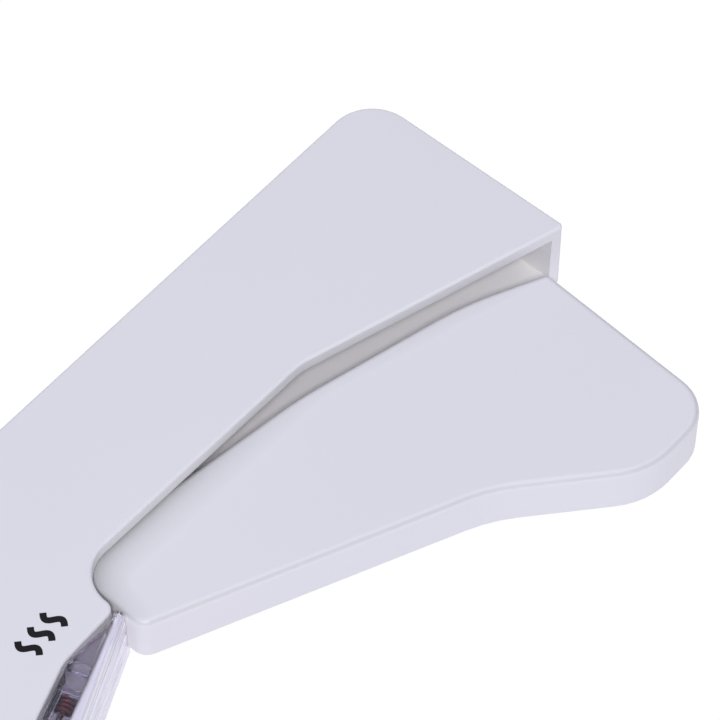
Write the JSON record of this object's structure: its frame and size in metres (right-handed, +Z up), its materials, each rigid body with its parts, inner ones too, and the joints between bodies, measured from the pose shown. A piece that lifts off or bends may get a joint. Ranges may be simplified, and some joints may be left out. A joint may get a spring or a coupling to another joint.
{
  "type": "handheld bag heat sealer",
  "caption": "Plier-style bag heat sealer: white casing with a flared handle, a nested squeeze lever, a clear lower jaw and a heated bar under a curved head.",
  "frame": {"origin": "on the resting face, under the middle of the outline's box, as the sealer lies on its side", "axes": "+X along the handle away from the jaws, +Y to the closed back of the casing, +Z up from the resting side"},
  "size_m": [0.2129, 0.0822, 0.0154],
  "materials": {
    "white_abs": "satin moulded white ABS, fine spark-eroded grain",
    "lever_abs": "satin moulded white ABS",
    "clear_pc": "clear polycarbonate with a faint lavender tint",
    "dark_nylon": "dark grey glass-filled nylon",
    "steel": "zinc-plated steel",
    "brass": "turned brass",
    "nylon": "natural nylon",
    "rubber": "black rubber",
    "silicone": "dark silicone",
    "ptfe": "brown PTFE-coated glass cloth",
    "copper_wire": "red-brown enamelled wire",
    "aluminium": "milled aluminium",
    "mica": "mica-wrapped heating element",
    "black_plastic": "black moulded plastic",
    "glass_fuse": "ceramic fuse body",
    "board": "green glass-epoxy board",
    "lamp": "red diffused lamp",
    "lens": "clear red acrylic",
    "red_wire": "silicone-insulated lead",
    "blue_wire": "silicone-insulated lead"
  },
  "bodies": {
    "casing": {"casing_bottom": "white_abs", "casing_top": "white_abs", "casing_screws": "steel", "pivot_pin": "steel", "pivot_washers": "nylon", "stop_buffer": "rubber", "return_spring": "steel", "heater_holder": "dark_nylon", "heating_bar": "aluminium", "heating_element": "mica", "ptfe_cover": "ptfe", "holder_screws": "steel", "thermostat": "black_plastic", "thermal_fuse": "glass_fuse", "indicator_board": "board", "indicator_lamp": "lamp", "indicator_lens": "lens", "terminal_block": "nylon", "terminal_screws": "brass", "switch_body": "black_plastic", "cord_gland": "rubber", "live_leads": "red_wire", "neutral_leads": "blue_wire"},
    "arm": {"rocker_frame": "dark_nylon", "pivot_bush": "brass", "squeeze_lever": "lever_abs", "lever_screws": "steel", "clear_jaw": "clear_pc", "jaw_screws": "steel", "silicone_pad": "silicone", "release_band": "ptfe", "band_spring": "copper_wire"},
    "switch": {"switch_slider": "black_plastic"}
  },
  "joints": [
    {"name": "squeeze", "type": "hinge", "parent": "casing", "child": "arm", "pos_m": [0, 0.01, 0.0077], "axis": [0, 0, 1], "range_deg": [0, 14], "stiffness_Nm_per_rad": 0.6, "springref_deg": -28.65, "deforming": ["return_spring"]},
    {"name": "power_slide", "type": "slide", "parent": "casing", "child": "switch", "axis": [0.9763, 0.2164, 0], "range_m": [0, 0.006]}
  ]
}
